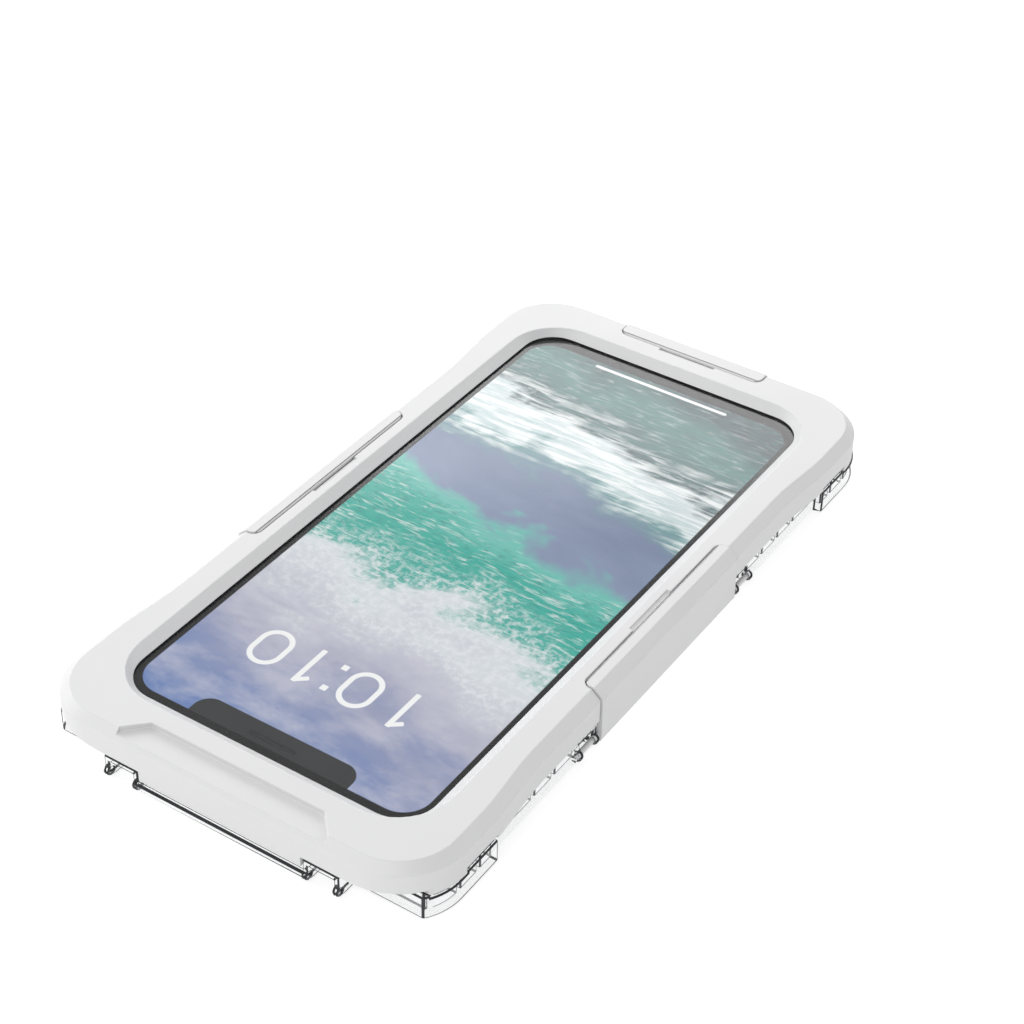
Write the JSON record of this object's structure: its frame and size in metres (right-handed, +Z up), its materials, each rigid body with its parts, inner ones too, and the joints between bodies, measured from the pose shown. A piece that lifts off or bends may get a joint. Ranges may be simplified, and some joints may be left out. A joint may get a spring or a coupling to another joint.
{
  "type": "waterproof phone case",
  "caption": "Rigid waterproof case closed round a phone: white frame with a window over a clear rear shell, held by hinged latches.",
  "frame": {"origin": "middle of the base, on the surface the case lies on", "axes": "+Z up through the screen, +Y to the far end, away from the phone's display notch, +X to the long side at the right when looking down with +Y away"},
  "size_m": [0.0856, 0.1644, 0.0122],
  "materials": {
    "white_plastic": "satin white moulding",
    "clear_film": "thin clear film, glossy",
    "silicone": "matt pale grey silicone",
    "clear_plastic": "clear moulded plastic, polished",
    "anodised_metal": "fine satin, anodised",
    "display": "lit display panel",
    "black_glass": "black glass, polished",
    "speaker_mesh": "fine black woven mesh",
    "lens_glass": "dark coated lens glass",
    "diffuser": "frosted pale yellow diffuser"
  },
  "bodies": {
    "case": {"front_frame": "white_plastic", "touch_film": "clear_film", "seal_gasket": "silicone", "rear_shell": "clear_plastic", "phone_body": "anodised_metal", "side_key": "anodised_metal", "ring_switch": "anodised_metal", "volume_up_key": "anodised_metal", "volume_down_key": "anodised_metal", "phone_display": "display", "phone_cover_glass": "black_glass", "earpiece_mesh": "speaker_mesh", "phone_back_glass": "black_glass", "camera_bump": "anodised_metal", "camera_lens_near": "lens_glass", "camera_lens_far": "lens_glass", "camera_flash": "diffuser"},
    "right_latch": {"latch_right": "white_plastic"},
    "far_latch": {"latch_far": "white_plastic"},
    "left_latch": {"latch_left": "white_plastic"}
  },
  "joints": [
    {"name": "right_latch_hinge", "type": "hinge", "parent": "case", "child": "right_latch", "pos_m": [0.0409, 0, 0.0014], "axis": [0, 1, 0], "range_deg": [0, 90]},
    {"name": "far_latch_hinge", "type": "hinge", "parent": "case", "child": "far_latch", "pos_m": [0, 0.08115, 0.0014], "axis": [-1, 0, 0], "range_deg": [0, 90]},
    {"name": "left_latch_hinge", "type": "hinge", "parent": "case", "child": "left_latch", "pos_m": [-0.0409, 0, 0.0014], "axis": [0, -1, 0], "range_deg": [0, 90]}
  ]
}
